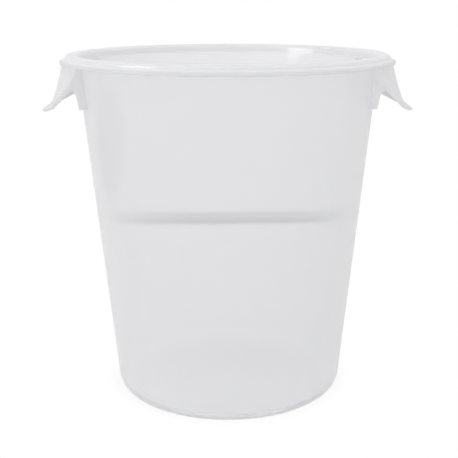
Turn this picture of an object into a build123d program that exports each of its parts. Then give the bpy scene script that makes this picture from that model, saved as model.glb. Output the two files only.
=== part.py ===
from build123d import *
import os

# A round tub for proofing dough and storing food, moulded in clear plastic: a tapered wall, a flanged
# rim and two ears to lift it by. It is open at the top, and nothing on it moves.
# The real tub is one moulding. Its features are separate solids here, cut where the moulding changes
# direction, and each meets the next face to face.
# Frame: millimetres, +Z up, the origin at the centre of the circle it stands on, the ears along X.

# The tub
height = 266.0
base_radius = 89.5  # the wall's outside, carried down to the table
wall_thickness = 2.2  # measured level

# Its base
floor_thickness = 2.4
foot_height = 1.2  # how far the floor is held off the table
foot_inset = 14.5  # from the base's radius in to where the raised floor starts
heel_radius = 10.0  # outside corner between base and wall

# Its rim, from the outer edge inwards
rim_radius = 127.0
rim_width = 12.0  # from the outer edge in to the wall's outside, carried up to the rim's top
rim_height = 6.8
rim_thickness = 2.0
lip_thickness = 1.9
lip_depth = 4.9  # from the top down to where the skirt ends in the lip
lip_fillet = 0.7
bead_inset = 4.1  # from the outer edge in to the outside of the raised bead
bead_depth = 2.8  # from the top down to where the skirt starts
bead_fillet = 2.6
skirt_fillet = 0.8
mouth_fillet = 3.4  # where the wall rolls over into the rim
channel_fillet = 1.5  # the same corner seen from below
underside_share = 0.5  # of the rim's thickness: how far the skirt's underside lies lower than its top

# The ears. Seen from above, an ear's skin follows the rim. Each of its levels has a drop from the rim's
# top and a distance out past the rim's edge, less than zero where it lies inside that edge, first at
# the middle of the ear and then at its two ends.
ear_half_angle = 21.5  # from the ear's middle to its end, seen from the tub's axis
ear_thickness = 2.0
ear_top_out, ear_top_end_out = -2.4, -9.0
ear_top_drop = 1.0
ear_shoulder_out, ear_shoulder_end_out = 0.6, -7.2
ear_shoulder_drop = 13.6
ear_kink_out, ear_kink_end_out = 5.4, 10.0
ear_kink_drop = 33.8
ear_tip_out, ear_tip_end_out = 15.0, 11.0
ear_tip_drop, ear_tip_end_drop = 41.4, 35.4
lip_line_drop = 33.0  # the level where the ear's skin is cut into apron and lip
station_shares = (-1.0, -0.5, 0.0, 0.5, 1.0)  # of the half angle: where the ear's sections stand

# The webs that close an ear's ends and run down the wall, measured from the rim's edge in the same way
web_thickness = 2.0
web_leg_out, web_leg_drop = -10.0, 38.0
web_bend_out, web_bend_drop = -7.8, 26.6
web_bend_fillet = 5.0
web_arch_out, web_arch_drop = -4.6, 23.7
web_arch_fillet = 1.5

# Levels and radii that follow from these
mouth_radius = rim_radius - rim_width
wall_draft = (mouth_radius - base_radius) / height
foot_inner_radius = base_radius - foot_inset
floor_top = foot_height + floor_thickness
rim_bottom = height - rim_height
rim_ceiling = height - rim_thickness
bead_foot = height - bead_depth
bead_radius = rim_radius - bead_inset
bead_inner_radius = bead_radius - rim_thickness
lip_top = height - lip_depth
lip_inner_radius = rim_radius - lip_thickness
underside_drop = underside_share * rim_thickness
inner_heel_radius = heel_radius - wall_thickness
collar_bottom = height - web_leg_drop


def wall_outside(level):
    return base_radius + wall_draft * level


def wall_inside(level):
    return wall_outside(level) - wall_thickness


# The moulding's cross-section on one side of the axis: each corner's place and its fillet.
section_corners = [
    ((0, foot_height), 0),
    ((foot_inner_radius, foot_height), 0),
    ((foot_inner_radius + foot_height, 0), 0),
    ((base_radius, 0), heel_radius),
    ((wall_outside(rim_ceiling), rim_ceiling), channel_fillet),
    ((bead_inner_radius, rim_ceiling), 0),
    ((bead_inner_radius, bead_foot - underside_drop), 0),
    ((lip_inner_radius, lip_top - underside_drop), 0),
    ((lip_inner_radius, rim_bottom), 0),
    ((rim_radius, rim_bottom), lip_fillet),
    ((rim_radius, lip_top), lip_fillet),
    ((bead_radius, bead_foot), skirt_fillet),
    ((bead_radius, height), bead_fillet),
    ((wall_inside(height), height), mouth_fillet),
    ((wall_inside(floor_top), floor_top), inner_heel_radius),
    ((0, floor_top), 0),
]
with BuildSketch() as moulding:
    with BuildLine():
        FilletPolyline(
            *[corner for corner, fillet in section_corners],
            radius=[fillet for corner, fillet in section_corners],
            close=True,
        )
    make_face()


def heel_centre(level, radius, wall):
    """How far out a corner of this radius is centred, when it stands on a level and touches a wall."""
    slope_length = (1 + wall_draft**2) ** 0.5
    return wall(level + radius) - radius * slope_length


heel_start = heel_centre(0, heel_radius, wall_outside)
heel_top = floor_top + inner_heel_radius


def ring(name, inner, outer, bottom, top):
    """The part of the moulding between two radii and two levels, as one solid."""
    with BuildPart() as piece:
        with BuildSketch(Plane.XZ):
            add(moulding.sketch)
            with Locations((inner, bottom)):
                Rectangle(outer - inner, top - bottom, align=Align.MIN, mode=Mode.INTERSECT)
        revolve(axis=Axis.Z)
    return finish(piece.part, name)


def finish(part, name):
    """The lowest solid of a part, which drops what a cut left above the rim."""
    solid = part.solids().sort_by(Axis.Z)[0]
    solid.label = name
    return solid


base_floor = ring("base_floor", 0, foot_inner_radius, 0, floor_top)
base_foot = ring("base_foot", foot_inner_radius, heel_start, 0, floor_top)
base_heel = ring("base_heel", heel_start, mouth_radius, 0, heel_top)
side_wall = ring("side_wall", foot_inner_radius, mouth_radius, heel_top, collar_bottom)
wall_collar = ring("wall_collar", foot_inner_radius, mouth_radius, collar_bottom, rim_bottom)
rim_bead = ring("rim_bead", foot_inner_radius, lip_inner_radius, rim_bottom, height)
rim_lip = ring("rim_lip", lip_inner_radius, rim_radius, rim_bottom, height)

# The tub filled solid to its outside, which trims what stands on the wall.
with BuildPart() as filled_tub:
    Cone(base_radius, mouth_radius, height, align=(Align.CENTER, Align.CENTER, Align.MIN))


def between(middle, end, share):
    """A size that runs from its middle value to its end value as the square of the way along."""
    return middle + (end - middle) * share**2


def ear_plane(share):
    """The upright plane through the tub's axis that cuts the ear at a share of its half angle."""
    return Plane.XZ.rotated((0, 0, share * ear_half_angle))


def ear_outside(share):
    """The outer face of an ear's section, from the rim down to the tip, at a share of the half angle."""
    tip_drop = between(ear_tip_drop, ear_tip_end_drop, share)
    return [
        Vector(rim_radius + between(ear_top_out, ear_top_end_out, share), height - ear_top_drop),
        Vector(
            rim_radius + between(ear_shoulder_out, ear_shoulder_end_out, share),
            height - ear_shoulder_drop,
        ),
        Vector(rim_radius + between(ear_kink_out, ear_kink_end_out, share), height - ear_kink_drop),
        Vector(rim_radius + between(ear_tip_out, ear_tip_end_out, share), height - tip_drop),
    ]


def ear_inside(points):
    """The same face set in by the ear's thickness, square to each of its stretches."""
    runs = [(after - before).normalized() for before, after in zip(points, points[1:])]
    inset = []
    for point, before, after in zip(points, runs[:1] + runs, runs + runs[-1:]):
        # The outline runs down, so a quarter turn clockwise points into the ear.
        across = Vector(before.Y + after.Y, -before.X - after.X).normalized()
        square = Vector(after.Y, -after.X)
        inset.append(point + across * (ear_thickness / across.dot(square)))
    return inset


with BuildPart() as ear_skin:
    for share in station_shares:
        outside = ear_outside(share)
        with BuildSketch(ear_plane(share)):
            with BuildLine():
                Polyline(*outside, *reversed(ear_inside(outside)), close=True)
            make_face()
    loft()
    add(filled_tub.part, mode=Mode.SUBTRACT)
    add(rim_bead, mode=Mode.SUBTRACT)
    add(rim_lip, mode=Mode.SUBTRACT)
skin = finish(ear_skin.part, "ear_skin")

lip_line = Plane.XY.offset(height - lip_line_drop)
with BuildPart() as apron:
    add(skin)
    split(bisect_by=lip_line, keep=Keep.TOP)
with BuildPart() as lip:
    add(skin)
    split(bisect_by=lip_line, keep=Keep.BOTTOM)


def web(share):
    """The web at one end of the ear, outside the plane at this share of the half angle."""
    outside = ear_outside(share)
    inside = ear_inside(outside)
    corners = [(tuple(point)[:2], 0) for point in outside]
    corners += [
        (tuple(inside[-1])[:2], 0),
        ((rim_radius + web_arch_out, height - web_arch_drop), web_arch_fillet),
        ((rim_radius + web_bend_out, height - web_bend_drop), web_bend_fillet),
        ((rim_radius + web_leg_out, collar_bottom), 0),
        ((0, collar_bottom), 0),
        ((0, height - ear_top_drop), 0),
    ]
    with BuildPart() as piece:
        with BuildSketch(ear_plane(share)):
            with BuildLine():
                FilletPolyline(
                    *[corner for corner, fillet in corners],
                    radius=[fillet for corner, fillet in corners],
                    close=True,
                )
            make_face()
        extrude(amount=-share * web_thickness)
        add(filled_tub.part, mode=Mode.SUBTRACT)
        add(rim_bead, mode=Mode.SUBTRACT)
        add(rim_lip, mode=Mode.SUBTRACT)
    return piece.part


ear_pieces = {
    "handle_apron": apron.part,
    "handle_lip": lip.part,
    "front_gusset": web(-1),
    "rear_gusset": web(1),
}
pieces = [base_floor, base_foot, base_heel, side_wall, wall_collar, rim_bead, rim_lip]
for name, right_part in ear_pieces.items():
    pieces.append(finish(right_part, "right_" + name))
    with BuildPart() as left_part:
        mirror(right_part, about=Plane.YZ)
    pieces.append(finish(left_part.part, "left_" + name))

os.makedirs("parts", exist_ok=True)
for piece in pieces:
    export_step(piece, f"parts/{piece.label}.step")
    print(piece.label, "volume", round(piece.volume), "mm3")
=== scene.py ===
# %% [markdown]
# # A tub for proofing dough, in clear polypropylene
# The object is a tall round food tub, moulded in one shot from clear plastic: a tapered wall, a flanged
# rim that a lid presses onto, and two ears to lift it by. The CAD model gives its sizes and how it is
# divided. This file gives its looks: smooth surfaces, soft edges, and a plastic that light passes.
# Clear plastic shows little of itself. What the eye reads is a pale haze, light bent in the thick places
# and a few highlights, so most of the work is in true wall thickness, true fillets, the haze's share and
# a calm studio around it all.

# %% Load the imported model
import math
import bmesh
import bpy
from mathutils import Matrix, Vector


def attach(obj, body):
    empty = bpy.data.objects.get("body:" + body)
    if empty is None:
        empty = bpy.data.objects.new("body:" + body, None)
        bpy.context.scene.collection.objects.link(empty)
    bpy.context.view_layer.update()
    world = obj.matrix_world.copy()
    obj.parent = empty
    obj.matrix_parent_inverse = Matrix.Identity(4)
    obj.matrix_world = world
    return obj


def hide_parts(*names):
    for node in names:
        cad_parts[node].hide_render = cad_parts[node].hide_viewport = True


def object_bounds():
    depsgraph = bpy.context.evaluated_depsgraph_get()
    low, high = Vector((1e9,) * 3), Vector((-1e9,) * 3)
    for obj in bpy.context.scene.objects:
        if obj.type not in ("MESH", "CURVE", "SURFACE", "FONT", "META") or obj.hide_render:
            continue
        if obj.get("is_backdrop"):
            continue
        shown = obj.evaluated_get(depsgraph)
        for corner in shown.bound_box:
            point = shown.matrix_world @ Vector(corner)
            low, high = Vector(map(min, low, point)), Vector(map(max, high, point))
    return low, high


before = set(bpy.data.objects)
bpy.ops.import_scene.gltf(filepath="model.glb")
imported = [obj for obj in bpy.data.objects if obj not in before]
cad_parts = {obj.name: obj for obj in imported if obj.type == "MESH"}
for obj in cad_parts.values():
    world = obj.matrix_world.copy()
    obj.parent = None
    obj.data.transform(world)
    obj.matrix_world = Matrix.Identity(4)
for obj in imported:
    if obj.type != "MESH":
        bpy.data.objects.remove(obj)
cad_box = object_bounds()
print("CAD nodes:", sorted(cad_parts))
print("CAD box in mm:", [[round(size * 1000, 1) for size in corner] for corner in cad_box])

# %% [markdown]
# ## The sizes of the tub
# Blender works in metres, but a moulding is drawn in millimetres, so every size here is in millimetres
# and is turned to metres once, where a mesh is made. A level is a height above the table, and a drop is
# measured down from the rim's top.

# %% Sizes of the round body
height = 266.0
base_radius, rim_radius = 89.5, 127.0  # the wall's outside, carried down to the table; the rim's edge
wall_thickness, floor_thickness, rim_thickness = 2.2, 2.4, 2.0
foot_height, foot_inner_radius, heel_radius = 1.2, 75.0, 10.0
rim_width, rim_height = 12.0, 6.8
lip_thickness, lip_depth = 1.9, 4.9
bead_inset, bead_depth = 4.1, 2.8
collar_depth = 38.0
print("The tub is", height, "mm high and", 2 * rim_radius, "mm across its rim")

# %% Levels and radii that follow
mouth_radius = rim_radius - rim_width
floor_top = foot_height + floor_thickness
rim_bottom, rim_ceiling = height - rim_height, height - rim_thickness
lip_inner_radius, lip_top = rim_radius - lip_thickness, height - lip_depth
bead_radius, bead_foot = rim_radius - bead_inset, height - bead_depth
bead_inner_radius = bead_radius - rim_thickness
underside_drop = rim_thickness / 2  # how far the skirt's underside lies lower than its top
collar_bottom = height - collar_depth
draft = (mouth_radius - base_radius) / height
print("The wall leans out by", round(math.degrees(math.atan(draft)), 2), "degrees")

# %% Sizes of the ears
ear_half_angle, ear_thickness, web_thickness = math.radians(21.5), 2.0, 2.0
# Each level of an ear: how far it stands out past the rim's edge, and its drop, at the middle and at
# the ends.
ear_top = (-2.4, 1.0), (-9.0, 1.0)
ear_shoulder = (0.6, 13.6), (-7.2, 13.6)
ear_kink = (5.4, 33.8), (10.0, 33.8)
ear_tip = (15.0, 41.4), (11.0, 35.4)
lip_line = height - 33.0  # where an ear's skin is divided
# The arch in an ear's webs, down to the wall: how far out past the rim's edge, the drop and the radius.
web_arch = (-4.6, 23.7, 1.5), (-7.8, 26.6, 5.0), (-10.0, collar_depth, 0)
print("An ear reaches", rim_radius + ear_tip[0][0], "mm from the tub's axis")

# %% [markdown]
# ## Rounded outlines
# A moulding has no sharp corners: molten plastic can't fill them, and the tool's cutter can't make them.
# Blender's bevel modifier could round them, but on a thin lathed wall it meets itself. Here each outline
# is rounded before it becomes a mesh, corner by corner, which also gives exact radii.

# %% Turn corners into arcs
STEP_DEGREES = 7.5  # of an arc between two points: fine enough that smooth shading hides the facets


def rounded(corners):
    """Points of an open outline whose corners are given as (across, up, radius)."""
    points = []
    for i, (across, up, radius) in enumerate(corners):
        corner = Vector((across, up))
        if radius == 0:
            points.append(corner)
            continue
        back = (Vector(corners[i - 1][:2]) - corner).normalized()
        on = (Vector(corners[i + 1][:2]) - corner).normalized()
        half = back.angle(on) / 2
        centre = corner + (back + on).normalized() * radius / math.sin(half)
        spoke = corner + back * radius / math.tan(half) - centre
        turn = math.pi - 2 * half
        side = 1 if back.y * on.x - back.x * on.y > 0 else -1
        steps = max(2, math.ceil(math.degrees(turn) / STEP_DEGREES))
        for step in range(steps + 1):
            points.append(centre + Matrix.Rotation(side * turn * step / steps, 2) @ spoke)
    return points


arc_points = len(rounded([(0, 0, 0), (9, 0, 2), (9, 9, 0)])) - 2
print("A square corner takes", arc_points, "points")

# %% [markdown]
# ## The moulding's section
# The round body is one section turned about the axis. Its outside runs from under the floor, over the
# foot and the heel, up the wall and along the underside of the rim. Its inside runs from the top of the
# floor up the wall, over the mouth and the bead, and down the outside of the rim's lip. Small radii that
# the CAD model leaves out are added: they are what catches the light on a real rim and foot.

# %% Radii of the section's corners
foot_edge, under_mouth, under_bead, under_skirt = 1.8, 1.5, 0.6, 0.5
mouth_roll, bead_roll, skirt_hollow, lip_edge = 3.4, 2.6, 0.8, 0.7
print("The mouth rolls over on a radius of", mouth_roll, "mm")

# %% The outside and the inside of the section
SLIT = 0.01  # between two pieces of the moulding, so that none of their faces coincide


def wall(level, inset=0.0):
    """How far out the wall's outside stands at a level, or a face set in from it."""
    return base_radius + draft * level - inset


outside_line = rounded([
    (0, foot_height, 0),
    (foot_inner_radius, foot_height, foot_edge),
    (foot_inner_radius + foot_height, 0, foot_edge),
    (base_radius, 0, heel_radius),
    (wall(rim_ceiling), rim_ceiling, under_mouth),
    (bead_inner_radius, rim_ceiling, under_bead),
    (bead_inner_radius, bead_foot - underside_drop, under_skirt),
    (lip_inner_radius + SLIT, lip_top - underside_drop, 0),
    (lip_inner_radius + SLIT, rim_bottom, 0),
])
inside_line = rounded([
    (0, floor_top, 0),
    (wall(floor_top, wall_thickness), floor_top, heel_radius - wall_thickness),
    (wall(height, wall_thickness), height, mouth_roll),
    (bead_radius, height, bead_roll),
    (bead_radius, bead_foot, skirt_hollow),
    (rim_radius, lip_top, lip_edge),
    (rim_radius, rim_bottom, lip_edge),
    (lip_inner_radius + SLIT, rim_bottom, 0),
])
print("Points in the section:", len(outside_line), "outside and", len(inside_line), "inside")

# %% [markdown]
# ## The plastic
# Clarified polypropylene is the cloudy-clear plastic of food tubs. An additive keeps its crystals small,
# so it passes most light, but they still scatter some, and the tub reads as a pale grey against white.
# Its refractive index is about 1.49. The mould is polished steel, so the skin is smooth, with a faint
# ripple where the melt cooled unevenly, about 30 mm from crest to crest and no more than 0.015 mm deep,
# and with marks from washing and stacking about 4 mm apart, which only change the gloss a little.
# A volume would be nearest to nature, but it is slow and grainy in a wall 2 mm thick. So the material is a
# mix of two shaders: a clear one that bends and reflects light, and a diffuse one for the haze. Light
# that meets a wall edge on crosses more plastic, so there the haze's share grows. Layer Weight gives that
# slant, 0 for a face seen straight on and 1 for one seen edge on.

# %% Colours and nodes


def linear(hex_colour):
    """An sRGB hex colour as the linear red, green, blue and alpha that shaders work with."""
    channels = [int(hex_colour[i:i + 2], 16) / 255 for i in (1, 3, 5)]
    return [c / 12.92 if c <= 0.04045 else ((c + 0.055) / 1.055) ** 2.4 for c in channels] + [1.0]


def add_node(tree, kind, inputs=None, **settings):
    """Adds a node. settings are its properties, and inputs gives its sockets a value or a link."""
    node = tree.nodes.new(kind)
    for name, value in settings.items():
        setattr(node, name, value)
    for name, value in (inputs or {}).items():
        if isinstance(value, bpy.types.NodeSocket):
            tree.links.new(value, node.inputs[name])
        else:
            node.inputs[name].default_value = value
    return node


HAZE_COLOUR = "#EBEBEC"  # nearly white, very slightly cold
print("The haze in linear light:", [round(c, 3) for c in linear(HAZE_COLOUR)[:3]])

# %% The clear part of the plastic
REFRACTIVE_INDEX = 1.49
ripple_mm, scuff_mm = 30.0, 4.0


def clear_part(tree, relief_mm):
    """Smooth clear plastic, its ripple as deep as the relief."""
    place = add_node(tree, "ShaderNodeTexCoord").outputs["Object"]
    ripple = add_node(tree, "ShaderNodeTexNoise", {
        "Vector": place, "Scale": 1000 / ripple_mm, "Detail": 1.0,
    })
    scuff = add_node(tree, "ShaderNodeTexNoise", {
        "Vector": place, "Scale": 1000 / scuff_mm, "Detail": 3.0,
    })
    polish = add_node(tree, "ShaderNodeMapRange", {
        "Value": scuff.outputs["Fac"], "From Min": 0.35, "From Max": 0.75, "To Min": 0.03, "To Max": 0.05,
    })
    relief = add_node(tree, "ShaderNodeBump", {
        "Height": ripple.outputs["Fac"], "Strength": 1.0, "Distance": relief_mm / 1000,
    })
    return add_node(tree, "ShaderNodeBsdfPrincipled", {
        "Base Color": linear("#FDFDFE"), "IOR": REFRACTIVE_INDEX, "Transmission Weight": 1.0,
        "Roughness": polish.outputs["Result"], "Normal": relief.outputs["Normal"],
    })


print("The ripple's noise has a scale of", round(1000 / ripple_mm, 1), "per metre")

# %% The hazy part of the plastic


def hazy_part(tree, colour, sheen):
    """Scattered light of a colour, with a share of soft gloss from the skin."""
    haze = add_node(tree, "ShaderNodeBsdfDiffuse", {"Color": linear(colour)})
    if sheen:
        gloss = add_node(tree, "ShaderNodeBsdfGlossy", {"Color": linear("#FFFFFF"), "Roughness": 0.12})
        haze = add_node(tree, "ShaderNodeMixShader", {
            "Fac": sheen, 1: haze.outputs[0], 2: gloss.outputs[0],
        })
    return haze


print("The haze reflects", round(linear(HAZE_COLOUR)[0] * 100), "% of the light it catches")

# %% [markdown]
# ## Light that gets lost
# Cycles follows a ray through a limited number of surfaces and then calls it black. In clear walls a few
# millimetres thick a ray is soon caught between two faces, which would draw black lines along the rim and
# round the foot. Real plastic lets that light out somewhere else. So a ray that was scattered once, or
# reflected twice, passes every further face as if it were a plain pale film. A shadow ray always does,
# because glass in Cycles stops the light of a lamp, though plastic this thin doesn't.

# %% The whole plastic


def polypropylene(name, straight_on, edge_on, relief_mm, colour=HAZE_COLOUR, sheen=0.0):
    """The plastic, with the haze's share for a face seen straight on and for one seen edge on."""
    material = bpy.data.materials.new(name)
    material.use_nodes = True
    tree = material.node_tree
    tree.nodes.clear()
    clear, haze = clear_part(tree, relief_mm), hazy_part(tree, colour, sheen)
    slant = add_node(tree, "ShaderNodeLayerWeight", {"Blend": 0.5})
    share = add_node(tree, "ShaderNodeMapRange", {
        "Value": slant.outputs["Facing"], "To Min": straight_on, "To Max": edge_on,
    }, interpolation_type="SMOOTHSTEP")
    shell = add_node(tree, "ShaderNodeMixShader", {
        "Fac": share.outputs["Result"], 1: clear.outputs[0], 2: haze.outputs[0],
    })
    pale_film = add_node(tree, "ShaderNodeBsdfTransparent", {"Color": linear("#F8F8F9")})
    ray = add_node(tree, "ShaderNodeLightPath")
    # Each time that a ray was scattered counts 2, and each time that it was reflected counts 1.
    turns = add_node(tree, "ShaderNodeMath", {
        0: ray.outputs["Diffuse Depth"], 1: 2.0, 2: ray.outputs["Glossy Depth"],
    }, operation="MULTIPLY_ADD")
    lost = add_node(tree, "ShaderNodeMath", {0: turns.outputs[0], 1: 1.5}, operation="GREATER_THAN")
    let_by = add_node(tree, "ShaderNodeMath", {
        0: ray.outputs["Is Shadow Ray"], 1: lost.outputs[0],
    }, operation="MAXIMUM")
    either = add_node(tree, "ShaderNodeMixShader", {
        "Fac": let_by.outputs[0], 1: shell.outputs[0], 2: pale_film.outputs[0],
    })
    add_node(tree, "ShaderNodeOutputMaterial", {"Surface": either.outputs[0]})
    print(name, "has", len(tree.nodes), "nodes")
    return material


# %% [markdown]
# ## Six finishes of one plastic
# The tub is one shot of one plastic, but its features don't look alike. Light crosses the wall once. In
# the ears and the rim it crosses two or three skins that lie one behind the other, and all of them add
# haze. The rim is also the most polished part of the mould, so it ripples least and shines most. The
# haze is painted a little lighter on the bead, and a little darker on the outer lip and the ears: painted
# light and shade, not a difference in the plastic.

# %% The finishes
wall_plastic = polypropylene("clarified_polypropylene", 0.3, 0.8, 0.015)
base_plastic = polypropylene("clarified_polypropylene_base", 0.3, 0.6, 0.004)
heel_plastic = polypropylene("clarified_polypropylene_heel", 0.3, 0.9, 0.008)
# The bead's haze colour is painted light, and the lip's and the ears' haze colours are painted shade.
bead_plastic_with_painted_light = polypropylene("clarified_polypropylene_bead_painted_light", 0.65, 0.92, 0.002, "#EEEEF0", 0.06)
lip_plastic_with_painted_shade = polypropylene("clarified_polypropylene_lip_painted_shade", 0.6, 0.97, 0.002, "#E2E2E4", 0.05)
ear_plastic_with_painted_shade = polypropylene("clarified_polypropylene_ear_painted_shade", 0.75, 0.97, 0.004, "#E9E9EA")
FINISHES = {
    "base_floor": base_plastic, "base_foot": base_plastic, "base_heel": heel_plastic,
    "side_wall": wall_plastic, "wall_collar": wall_plastic,
    "rim_bead": bead_plastic_with_painted_light, "rim_lip": lip_plastic_with_painted_shade,
}
print("Round pieces with a finish:", len(FINISHES))

# %% [markdown]
# ## Where two pieces meet
# The moulding is shown in named pieces, whose end faces lie inside the plastic, where nothing is to be
# seen. They get a second material, plain Transparent, that lets everything pass.

# %% The inner end faces
joined_face = bpy.data.materials.new("joined_inside_the_plastic")
joined_face.use_nodes = True
tree = joined_face.node_tree
tree.nodes.clear()
passes_all = add_node(tree, "ShaderNodeBsdfTransparent")
add_node(tree, "ShaderNodeOutputMaterial", {"Surface": passes_all.outputs[0]})
print("End faces use", joined_face.name)

# %% [markdown]
# ## From points to a piece
# Every piece is a closed mesh in its final place, shaded smooth, with a crease only where two faces
# meet at more than 30 degrees. It stands for one CAD node, which it hides, rides on the root body and
# takes its finish from the table of finishes.

# %% Make a piece
CREASE_DEGREES = 30


def make_piece(node, points, faces, joined):
    """A closed piece in place of a CAD node, from points in mm. joined numbers its end faces."""
    mesh = bpy.data.meshes.new("clear_" + node)
    mesh.from_pydata([Vector(point) / 1000 for point in points], [], faces)
    mesh.materials.append(FINISHES.get(node, ear_plastic_with_painted_shade))
    mesh.materials.append(joined_face)
    for number in joined:
        mesh.polygons[number].material_index = 1
    shape = bmesh.new()
    shape.from_mesh(mesh)
    bmesh.ops.recalc_face_normals(shape, faces=shape.faces)
    loose = sum(not edge.is_manifold for edge in shape.edges)
    shape.to_mesh(mesh)
    shape.free()
    mesh.shade_smooth()
    mesh.set_sharp_from_angle(angle=math.radians(CREASE_DEGREES))
    piece = bpy.data.objects.new("clear_" + node, mesh)
    bpy.context.scene.collection.objects.link(piece)
    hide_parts(node)
    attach(piece, "root")
    print(piece.name, "has", len(mesh.polygons), "faces and", loose, "open edges")
    return piece


print("A face that meets the next at more than", CREASE_DEGREES, "degrees keeps a crease")

# %% [markdown]
# ## The round pieces
# A lathe turns a closed outline about the upright axis. Blender's screw modifier does this too, but
# then the end faces couldn't get their own material. The section is cut where the CAD model divides it,
# with a slit of a hundredth of a millimetre between two pieces, so that no two faces coincide.

# %% Cut a line between two levels or two radii
CLOSE = 1e-4  # two points nearer than this are one


def crossing(line, cut, after):
    """How far along a line it next meets a cut. 3.5 is half way between its points 3 and 4."""
    axis, value = cut
    for i in range(max(0, int(after)), len(line) - 1):
        low, high = line[i][axis], line[i + 1][axis]
        if low != high and 0 <= (value - low) / (high - low) <= 1:
            found = i + (value - low) / (high - low)
            if found > after:
                return found
    raise ValueError("the line doesn't meet the cut")


def point_at(line, along):
    """The point that far along a line."""
    i = min(int(along), len(line) - 2)
    return line[i].lerp(line[i + 1], along - i)


def stretch(line, start, stop):
    """The points of a line between two cuts, each (0 for a radius or 1 for a level, its value)."""
    begin = 0.0 if start is None else crossing(line, start, -1.0)
    end = len(line) - 1.0 if stop is None else crossing(line, stop, begin)
    first, last = point_at(line, begin), point_at(line, end)
    between = [line[i] for i in range(len(line)) if begin < i < end]
    between = [p for p in between if min((p - first).length, (p - last).length) > CLOSE]
    return [first] + between + [last]


heel_top = floor_top + heel_radius - wall_thickness
wall_line = stretch(outside_line, (1, heel_top), (1, collar_bottom))
print("The wall's outside goes from", tuple(wall_line[0]), "to", tuple(wall_line[-1]))

# %% The lathe
TURNS = 224  # faces round the axis
ON_AXIS = 1e-6  # a point nearer to the axis than this is on it


def lathe(node, start, stop):
    """The round piece between two cuts through the section. None is the end of the section."""
    outer, inner = stretch(outside_line, start, stop), stretch(inside_line, start, stop)
    if (outer[-1] - inner[-1]).length < CLOSE:
        inner = inner[:-1]
    outline = outer + inner[::-1]
    points, first = [], []
    for across, up in outline:
        first.append(len(points))
        angles = [math.tau * k / TURNS for k in range(TURNS if across > ON_AXIS else 1)]
        points += [(across * math.cos(a), across * math.sin(a), up) for a in angles]
    faces, joined = [], []
    for i, here in enumerate(first):
        there = first[(i + 1) % len(first)]
        on_axis = [outline[i].x < ON_AXIS, outline[(i + 1) % len(first)].x < ON_AXIS]
        if all(on_axis):
            continue
        closes = (i == len(outer) - 1 and stop is not None) or (i == len(first) - 1 and start is not None)
        for k in range(TURNS):
            after = (k + 1) % TURNS
            if on_axis[0]:
                face = (here, there + k, there + after)
            elif on_axis[1]:
                face = (here + k, there, here + after)
            else:
                face = (here + k, there + k, there + after, here + after)
            if closes:
                joined.append(len(faces))
            faces.append(face)
    return make_piece(node, points, faces, joined)


heel_start = base_radius + draft * heel_radius - heel_radius * math.hypot(1, draft)
cuts = {
    "base_floor": (None, (0, foot_inner_radius)),
    "base_foot": ((0, foot_inner_radius), (0, heel_start)),
    "base_heel": ((0, heel_start), (1, heel_top)),
    "side_wall": ((1, heel_top), (1, collar_bottom)),
    "wall_collar": ((1, collar_bottom), (1, rim_bottom)),
    "rim_bead": ((1, rim_bottom), (0, lip_inner_radius)),
    "rim_lip": ((0, lip_inner_radius), None),
}
for node, (start, stop) in cuts.items():
    start = start and (start[0], start[1] + SLIT / 2)
    stop = stop and (stop[0], stop[1] - SLIT / 2)
    lathe(node, start, stop)

# %% [markdown]
# ## The skin of an ear
# Each ear is a skin 2 mm thick that follows the rim, leans out and flares at its tip. It could be a
# subdivision surface, but the flare's bend and the thin round tip need exact radii. So it is lofted:
# the same rounded section is drawn in upright planes through the tub's axis and joined up. Every section
# stops where it meets the tub or the underside of the rim.

# %% Inside the body or not
CLEARANCE = 0.04  # between an ear and the body that it stands on
UNDER_RIM = rim_bottom - 9.0  # a stretch of the section that starts higher is the rim's underside


def within_body(reach, level):
    """True inside the tub or the rim, grown by the clearance."""
    if level > height or reach < wall(level) + CLEARANCE:
        return True
    for a, b in zip(outside_line, outside_line[1:]):
        if a.y > UNDER_RIM and a.x != b.x and a.x <= reach <= b.x:
            return level > a.y + (b.y - a.y) * (reach - a.x) / (b.x - a.x) - CLEARANCE
    return reach > lip_inner_radius and reach < rim_radius and level > rim_bottom - CLEARANCE


print("Half way up the wall, 110 mm out is", "inside" if within_body(110.0, height / 2) else "outside")

# %% One section of the skin
BENDS = (0.0, 24.0, 5.0, 0.0)  # the radius at each level of the ear's outside


def ear_line(share, depth):
    """The section's line at a share of the half angle and a depth under the outside, from tip to rim."""
    levels = []
    for (out, drop), (end_out, end_drop) in (ear_top, ear_shoulder, ear_kink, ear_tip):
        reach = rim_radius + out + (end_out - out) * share ** 2
        levels.append(Vector((reach, height - drop - (end_drop - drop) * share ** 2)))
    runs = [(b - a).normalized() for a, b in zip(levels, levels[1:])]
    corners = []
    for point, before, after, bend in zip(levels, runs[:1] + runs, runs + runs[-1:], BENDS):
        across = Vector((before.y + after.y, -before.x - after.x)).normalized()
        square = Vector((after.y, -after.x))
        corners.append((*(point + across * depth / across.dot(square)), bend))
    return rounded(corners)[::-1]


print("The middle section's outside:", [tuple(round(c, 1) for c in p) for p in ear_line(0, 0)][::6])

# %% Points along a section's line
ROWS = 36
FINE_STEP = 0.25  # how closely a line is followed to find where it meets the rim


def climb(share, depth, low, high):
    """Evenly spaced points up a section's line, from one level, or its tip, to another, or the rim."""
    fine = [ear_line(share, depth)[0]]
    for point in ear_line(share, depth)[1:]:
        steps = max(1, math.ceil((point - fine[-1]).length / FINE_STEP))
        fine += [fine[-1].lerp(point, (k + 1) / steps) for k in range(steps)]
    kept = []
    for point in fine:
        if within_body(*point):
            break
        kept.append(point)
    if low is not None:
        kept = [p for p in kept if p.y >= low]
    if high is not None:
        kept = [p for p in kept if p.y <= high]
    last = len(kept) - 1
    return [kept[round(last * k / (ROWS - 1))] for k in range(ROWS)]


print("At the ear's end the skin meets the rim at", tuple(climb(1, 0, None, None)[-1]))

# %% Loft the skin
COLUMNS = 64
DEPTHS = 6  # points across the thickness, so that the tip is round and the top follows the rim


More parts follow.
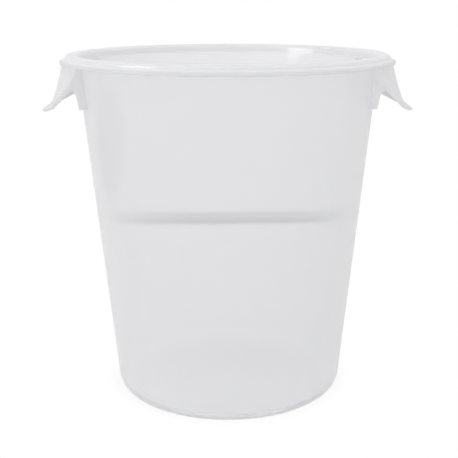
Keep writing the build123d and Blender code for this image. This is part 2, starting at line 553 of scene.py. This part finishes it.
def ear_skin(node, side, low, high):
    """The skin between two levels, on the side of +X or -X."""
    sections = []
    for column in range(COLUMNS + 1):
        share = 2 * column / COLUMNS - 1
        lines = [climb(share, ear_thickness * d / (DEPTHS - 1), low, high) for d in range(DEPTHS)]
        if low is None:
            # A round tip: the lines between the two faces reach on by the height of a half circle.
            for d, line in enumerate(lines):
                down = (line[0] - line[1]).normalized()
                off_centre = 2 * d / (DEPTHS - 1) - 1
                line[0] = line[0] + down * ear_thickness / 2 * (math.sqrt(1 - off_centre ** 2) - 1)
        loop = lines[0] + [line[-1] for line in lines[1:-1]] + lines[-1][::-1]
        loop += [line[0] for line in lines[-2:0:-1]]
        turn = share * ear_half_angle
        sections.append([(side * p.x * math.cos(turn), p.x * math.sin(turn), p.y) for p in loop])
    count = len(sections[0])
    points = [point for section in sections for point in section]
    faces, joined = [], []
    for column in range(COLUMNS):
        for i in range(count):
            a, b = column * count + i, column * count + (i + 1) % count
            if (low is not None and i >= count - DEPTHS + 1) or (
                high is not None and ROWS - 1 <= i < ROWS + DEPTHS - 2
            ):
                joined.append(len(faces))
            faces.append((a, b, b + count, a + count))
    joined += [len(faces), len(faces) + 1]
    faces += [tuple(range(count)), tuple(range(COLUMNS * count, (COLUMNS + 1) * count))]
    return make_piece(node, points, faces, joined)


for side, name in ((-1, "left"), (1, "right")):
    ear_skin(name + "_handle_apron", side, lip_line + SLIT / 2, None)
    ear_skin(name + "_handle_lip", side, None, lip_line - SLIT / 2)

# %% [markdown]
# ## The webs
# A flat web closes each end of an ear and runs down the wall, which keeps the ear stiff under a hand. It
# stands in an upright plane through the tub's axis, and is cut away in an arch where the fingers go.
# A web is a stack of outlines through its 2 mm: the first ones and the last ones step inwards along an
# arc, which rounds the free edges as the mould does. Only the edge that meets the skin stays sharp.

# %% Outline of a web
WALL_STEPS = 12
# A web's top corner at the wall is cut off, down and out, to clear the rounding under the mouth.
CORNER_DOWN, CORNER_OUT = 1.6, 1.2


def web_outline(offset):
    """A web's outline at an offset from its plane: the skin's two lines, the arch and the wall."""
    outer = climb(1, 0, None, None)[::-1]
    inner = climb(1, ear_thickness, None, None)[::-1]
    corners = [(rim_radius + out, height - drop, radius) for out, drop, radius in web_arch]
    arch = rounded([(*inner[-1], 0), *corners])
    ceiling = rim_ceiling - CLEARANCE
    on_wall = []
    for k in range(WALL_STEPS + 1):
        level = collar_bottom + (ceiling - CORNER_DOWN - collar_bottom) * k / WALL_STEPS
        on_wall.append(Vector((math.sqrt((wall(level) + CLEARANCE) ** 2 - offset ** 2), level)))
    return outer, inner, arch, on_wall + [Vector((on_wall[-1].x + CORNER_OUT, ceiling))]


def stepped_in(line, step):
    """A line moved to its right-hand side, which is into the web."""
    runs = [(b - a).normalized() for a, b in zip(line, line[1:])]
    return [
        point + Vector((before.y + after.y, -before.x - after.x)).normalized() * step
        for point, before, after in zip(line, runs[:1] + runs, runs + runs[-1:])
    ]


_, _, arch_line, wall_side = web_outline(0)
print("A web's arch has", len(arch_line), "points, and its foot stands at", tuple(wall_side[0]))

# %% Build a web
WEB_EDGE = 0.5  # radius of a web's free edges
EDGE_STEPS = 4


def web(node, side, front):
    """The web at the ear's front (-1) or rear (+1) end."""
    # A layer is its offset from the ear's end plane, and how far the skin's line and the arch step in.
    layers = []
    for k in range(EDGE_STEPS + 1):
        turn = math.radians(90 - 90 / EDGE_STEPS * k)
        layers.append((SLIT + WEB_EDGE * (1 - math.sin(turn)), 0, WEB_EDGE * (1 - math.cos(turn))))
    layers += [(web_thickness + SLIT - offset, step, step) for offset, _, step in layers[::-1]]
    points, count = [], 0
    for offset, skin_step, arch_step in layers:
        outer, inner, arch, body = web_outline(offset)
        loop = stepped_in(outer, skin_step)[:-1] + [outer[-1], arch[0]] + stepped_in(arch, arch_step)[1:]
        loop += [body[0] + Vector((0, arch_step))] + body[1:]
        if not points:
            # The skin's inner line splits the first face, from the tip up to the rim.
            tip, count, seam = len(outer), len(loop), range(len(loop), len(loop) + len(inner) - 1)
            loop = loop + inner[-2::-1]
        for p in loop:
            x = p.x * math.cos(ear_half_angle) - offset * math.sin(ear_half_angle)
            y = p.x * math.sin(ear_half_angle) + offset * math.cos(ear_half_angle)
            points.append((side * x, front * y, p.y))
    faces = [(*range(tip + 1), *seam), (*reversed(seam), *range(tip, count))]
    faces.append(tuple(range(len(points) - count, len(points))))
    for layer in range(len(layers) - 1):
        here, there = layer * count + (layer > 0) * len(seam), (layer + 1) * count + len(seam)
        for i in range(count):
            after = (i + 1) % count
            split = (seam[-1],) if layer == 0 and after == 0 else ()
            faces.append((here + i, *split, here + after, there + after, there + i))
    return make_piece(node, points, faces, [0])


for side, name in ((-1, "left"), (1, "right")):
    web(name + "_front_gusset", side, -1)
    web(name + "_rear_gusset", side, 1)

# %% [markdown]
# ## The studio
# A clear thing on white is lit by what surrounds it, and shows what stands behind it. The floor is one
# large sheet of matt white paper, which scatters light evenly and mirrors nothing. The camera sees it, and
# the air above it, as plain white. Seen through the plastic or mirrored in it, they are a little less than
# white, as a real table and room are. For light that the plastic scatters they are a calm pale grey, so
# the tub keeps soft shading and the floor its shadow. Light Path tells these rays apart.

# %% The floor's sheet of paper
bpy.ops.mesh.primitive_circle_add(vertices=96, radius=4.0, fill_type="NGON", location=(0, 0, -0.0002))
floor = bpy.context.object
floor.name = "studio_floor"
floor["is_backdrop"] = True
paper = bpy.data.materials.new("matt_white_paper")
paper.use_nodes = True
tree = paper.node_tree
tree.nodes.clear()
place = add_node(tree, "ShaderNodeTexCoord").outputs["Object"]
where = add_node(tree, "ShaderNodeSeparateXYZ", {"Vector": place})
print("The floor is", floor.dimensions.x, "m across")

# %% [markdown]
# ## Shade under the tub
# Round the foot the plain white gives way a little to the lit paper, which shows the tub's faint shadow.
# Under the base the plain white is taken away a little at the front and wholly at the back, so the lit
# paper's shade shows there and the base looks darker from inside. That shade is lit by the lamps, but
# the mask that makes it darkest at the back is painted shade.
# Distances are in metres here, because shaders work on the scene's own coordinates.

# %% Shade round the foot and under the base
shade_from, shade_to = 0.088, 0.104
from_foot = add_node(tree, "ShaderNodeVectorMath", {
    0: place, 1: (0.0, 0.01, 0.0),
}, operation="DISTANCE")
round_foot = add_node(tree, "ShaderNodeMapRange", {
    "Value": from_foot.outputs["Value"], "From Min": shade_from, "From Max": shade_to, "To Min": 0.8,
}, interpolation_type="SMOOTHSTEP")
from_middle = add_node(tree, "ShaderNodeVectorMath", {
    0: place, 1: (0.0, -0.012, 0.0),
}, operation="DISTANCE")
under_base = add_node(tree, "ShaderNodeMapRange", {
    "Value": from_middle.outputs["Value"], "From Min": 0.081, "From Max": 0.077,
}, interpolation_type="SMOOTHSTEP")
# Painted shade: under the base the white share falls away towards the back.
painted_shade_towards_back = add_node(tree, "ShaderNodeMapRange", {
    "Value": where.outputs["Y"], "From Min": -0.05, "From Max": 0.06, "To Min": 0.0, "To Max": -0.85,
}, interpolation_type="SMOOTHSTEP")
white_share_after_painted_shade = add_node(tree, "ShaderNodeMath", {
    0: under_base.outputs["Result"], 1: painted_shade_towards_back.outputs["Result"], 2: round_foot.outputs["Result"],
}, operation="MULTIPLY_ADD")
print("The shade round the foot ends", shade_to * 1000, "mm from its middle")

# %% [markdown]
# ## The far edge of the table
# The dark band half way up the wall isn't part of the tub. It is the far edge of the table, seen through
# the plastic. Here its shade is painted: a darker strip in the floor's glow, half a metre behind the tub,
# that only rays which came through the plastic see. It comes on quickly at its near side, is darkest
# just past it, and ends softly at its far side.

# %% The strip across the floor
# Along Y its darkness is none at 0.495 m, full at 0.52, 0.65 of that from 0.55 to 0.568, none at 0.588.
rise = add_node(tree, "ShaderNodeMapRange", {
    "Value": where.outputs["Y"], "From Min": 0.495, "From Max": 0.52,
}, interpolation_type="SMOOTHSTEP")
fall = add_node(tree, "ShaderNodeMapRange", {
    "Value": where.outputs["Y"], "From Min": 0.588, "From Max": 0.568, "To Max": 0.65,
}, interpolation_type="SMOOTHSTEP")
core = add_node(tree, "ShaderNodeMapRange", {
    "Value": where.outputs["Y"], "From Min": 0.55, "From Max": 0.52, "To Max": 0.35,
}, interpolation_type="SMOOTHSTEP")
far_side = add_node(tree, "ShaderNodeMath", {0: fall.outputs["Result"], 1: core.outputs["Result"]})
sideways = add_node(tree, "ShaderNodeMath", {0: where.outputs["X"]}, operation="ABSOLUTE")
ends = add_node(tree, "ShaderNodeMapRange", {
    "Value": sideways.outputs[0], "From Min": 0.34, "From Max": 0.22,
}, interpolation_type="SMOOTHSTEP")
strip = add_node(tree, "ShaderNodeMath", {
    0: rise.outputs["Result"], 1: far_side.outputs[0],
}, operation="MULTIPLY")
strip = add_node(tree, "ShaderNodeMath", {
    0: strip.outputs[0], 1: ends.outputs["Result"],
}, operation="MULTIPLY")
# The floor's glow behind the plastic, and how much of it the strip's painted shade takes away.
table_level, painted_shade_depth = 0.93, 0.85
through = add_node(tree, "ShaderNodeMath", {
    0: strip.outputs[0], 1: -painted_shade_depth, 2: table_level,
}, operation="MULTIPLY_ADD")
print("At its darkest the strip gives", round(table_level - painted_shade_depth, 2), "of white")

# %% [markdown]
# ## Something dark beside the tub
# The wall's left side mirrors a dark thing that stands beside the tub, which shows as a soft dark oval. A
# round dark patch on the floor does the same, seen only by rays that were reflected.

# %% The dark patch
patch_radius, soft_edge = 0.28, 0.1
from_patch = add_node(tree, "ShaderNodeVectorMath", {
    0: place, 1: (-0.88, 0.23, 0.0),
}, operation="DISTANCE")
mirrored = add_node(tree, "ShaderNodeMapRange", {
    "Value": from_patch.outputs["Value"], "From Min": patch_radius, "From Max": patch_radius + soft_edge,
    "To Min": 0.05, "To Max": 0.9,
}, interpolation_type="SMOOTHSTEP")
print("The patch is", 2 * patch_radius, "m across, with a soft edge of", soft_edge, "m")

# %% Put the floor together
ray = add_node(tree, "ShaderNodeLightPath")
second_hand = add_node(tree, "ShaderNodeMath", {
    0: ray.outputs["Is Glossy Ray"], 1: ray.outputs["Is Transmission Ray"],
}, operation="MAXIMUM")
looked_at = add_node(tree, "ShaderNodeMath", {
    0: ray.outputs["Is Camera Ray"], 1: second_hand.outputs[0],
}, operation="MAXIMUM")
white_share = add_node(tree, "ShaderNodeMath", {
    0: looked_at.outputs[0], 1: white_share_after_painted_shade.outputs[0],
}, operation="MULTIPLY")
by_plastic = add_node(tree, "ShaderNodeMix", {
    "Factor": ray.outputs["Is Transmission Ray"], "A": mirrored.outputs["Result"], "B": through.outputs[0],
})
glow = add_node(tree, "ShaderNodeMix", {
    "Factor": second_hand.outputs[0], "A": 1.0, "B": by_plastic.outputs[0],
})
matt = add_node(tree, "ShaderNodeBsdfDiffuse", {"Color": linear("#F4F4F4")})
white = add_node(tree, "ShaderNodeEmission", {"Color": linear("#FFFFFF"), "Strength": glow.outputs[0]})
both = add_node(tree, "ShaderNodeMixShader", {
    "Fac": white_share.outputs[0], 1: matt.outputs[0], 2: white.outputs[0],
})
add_node(tree, "ShaderNodeOutputMaterial", {"Surface": both.outputs[0]})
floor.data.materials.append(paper)
print("The floor's material has", len(tree.nodes), "nodes")

# %% The air around
world = bpy.data.worlds.new("studio_air")
bpy.context.scene.world = world
world.use_nodes = True
tree = world.node_tree
tree.nodes.clear()
ray = add_node(tree, "ShaderNodeLightPath")
direction = add_node(tree, "ShaderNodeTexCoord").outputs["Generated"]
up = add_node(tree, "ShaderNodeSeparateXYZ", {"Vector": direction}).outputs["Z"]
horizon_level, ceiling_level = 0.93, 0.88
room = add_node(tree, "ShaderNodeMapRange", {
    "Value": up, "From Min": 0.05, "From Max": 0.85, "To Min": horizon_level, "To Max": ceiling_level,
}, interpolation_type="SMOOTHSTEP")
second_hand = add_node(tree, "ShaderNodeMath", {
    0: ray.outputs["Is Glossy Ray"], 1: ray.outputs["Is Transmission Ray"],
}, operation="MAXIMUM")
calm = add_node(tree, "ShaderNodeMix", {
    "Factor": second_hand.outputs[0], "A": ceiling_level, "B": room.outputs["Result"],
})
level = add_node(tree, "ShaderNodeMix", {
    "Factor": ray.outputs["Is Camera Ray"], "A": calm.outputs[0], "B": 1.0,
})
air = add_node(tree, "ShaderNodeBackground", {"Color": linear("#FFFFFF"), "Strength": level.outputs[0]})
add_node(tree, "ShaderNodeOutputWorld", {"Surface": air.outputs[0]})
print("The world has", len(tree.nodes), "nodes")

# %% [markdown]
# ## Two lamps
# The left softbox draws the highlights on the rim, at the front left and at the back right. It stands low
# and far round, and would light the left ear too much, so it gives gloss only. The front softbox is weak
# and gives the ears and the rim their soft modelling. Neither is to be seen through the plastic.

# %% The lamps
AIM = Vector((0, 0, 0.25))  # just under the rim
for name, place, size, watts, lights_haze in (
    ("softbox_left", (-1.525, -0.679, 0.934), 0.75, 8.0, False),
    ("softbox_front", (-0.9, -1.0, 1.3), 1.6, 4.3, True),
):
    lamp = bpy.data.lights.new(name, "AREA")
    lamp.shape, lamp.size, lamp.size_y, lamp.energy = "RECTANGLE", size, size * 1.4, watts
    stand = bpy.data.objects.new(name, lamp)
    stand.location = place
    stand.rotation_euler = (AIM - Vector(place)).to_track_quat("-Z", "Y").to_euler()
    stand.visible_transmission = False
    stand.visible_diffuse = lights_haze
    bpy.context.scene.collection.objects.link(stand)
    print(name, "gives", watts, "W from", place)

# %% [markdown]
# ## The camera
# The tub is seen from a little above, from about three times its height away, with a lens a bit longer
# than normal, which keeps its taper honest. The lens is shifted a little to one side, as happens when a
# picture is cropped, and that leaves the tub's axis very slightly off the upright.

# %% Place the camera
PICTURE_WIDTH, FOCAL_LENGTH = 458, 900.5  # in pixels
LENS_AXIS = 241.0  # the pixel column that the lens points at
turn, pitch = math.radians(1.5), math.radians(14.83)
lens_data = bpy.data.cameras.new("product_camera")
lens_data.sensor_width = 36.0
lens_data.lens = lens_data.sensor_width * FOCAL_LENGTH / PICTURE_WIDTH
lens_data.shift_x = -(LENS_AXIS - PICTURE_WIDTH / 2) / PICTURE_WIDTH
camera = bpy.data.objects.new("product_camera", lens_data)
in_front = Vector((0.010, -0.7006, 0.312))  # its place before it is turned round the tub's axis
camera.location = Matrix.Rotation(-turn, 3, "Z") @ in_front
camera.rotation_euler = (math.pi / 2 - pitch, 0, -turn)
bpy.context.scene.collection.objects.link(camera)
bpy.context.scene.camera = camera
bpy.context.scene.view_settings.view_transform = "Standard"
print("Lens", round(lens_data.lens, 1), "mm, at", [round(c, 3) for c in camera.location])

# %% [markdown]
# ## The size of the CAD model and of the pieces
# The box of the CAD model and the box of the pieces are printed side by side.

# %% Write the two boxes
boxes = [[list(corner) for corner in box] for box in (cad_box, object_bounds())]
for name, box in zip(("CAD", "Visual"), boxes):
    print(name, "box in mm:", [[round(c * 1000, 1) for c in corner] for corner in box])
